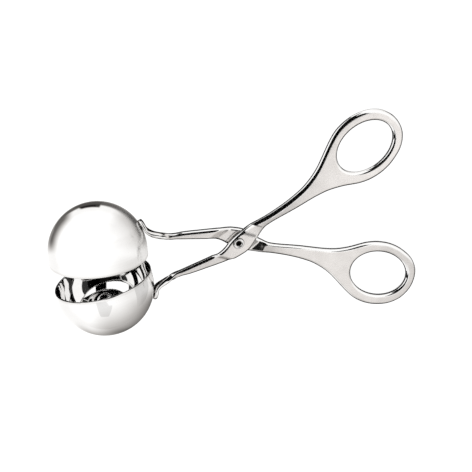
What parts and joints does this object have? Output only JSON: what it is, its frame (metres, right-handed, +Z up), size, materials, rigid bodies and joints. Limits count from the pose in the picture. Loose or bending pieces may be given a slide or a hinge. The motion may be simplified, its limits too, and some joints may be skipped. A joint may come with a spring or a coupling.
{
  "type": "meatball tongs",
  "caption": "Scissor-action meatball tongs in stainless steel: crossing pressed arms with oval finger loops turn on a rolled rivet and bring deep round bowls together rim to rim.",
  "frame": {"origin": "on the table under the middle of the bounding box, with the tongs lying on the sides of the bowls and the ends of the finger loops", "axes": "+X from the bowls to the finger loops, +Y towards the upper bowl, +Z up; the arms' plane falls 9.69 degrees towards +X"},
  "size_m": [0.188, 0.1096, 0.05],
  "materials": {
    "satin_steel": "tumbled satin stainless sheet with bright rounded edges",
    "polished_steel": "mirror-polished stainless",
    "rivet_steel": "bright rolled stainless",
    "weld_steel": "dull fused stainless"
  },
  "bodies": {
    "front_half": {"front_arm": "satin_steel", "lower_bowl": "polished_steel", "lower_weld_inner": "weld_steel", "lower_weld_outer": "weld_steel", "pivot_rivet": "rivet_steel"},
    "rear_half": {"rear_arm": "satin_steel", "upper_bowl": "polished_steel", "upper_weld_inner": "weld_steel", "upper_weld_outer": "weld_steel"}
  },
  "joints": [
    {"name": "pivot", "type": "hinge", "parent": "front_half", "child": "rear_half", "pos_m": [0.00141, 0, 0.01707], "axis": [0.1683, 0, 0.9857], "range_deg": [-36, 8.5]}
  ]
}
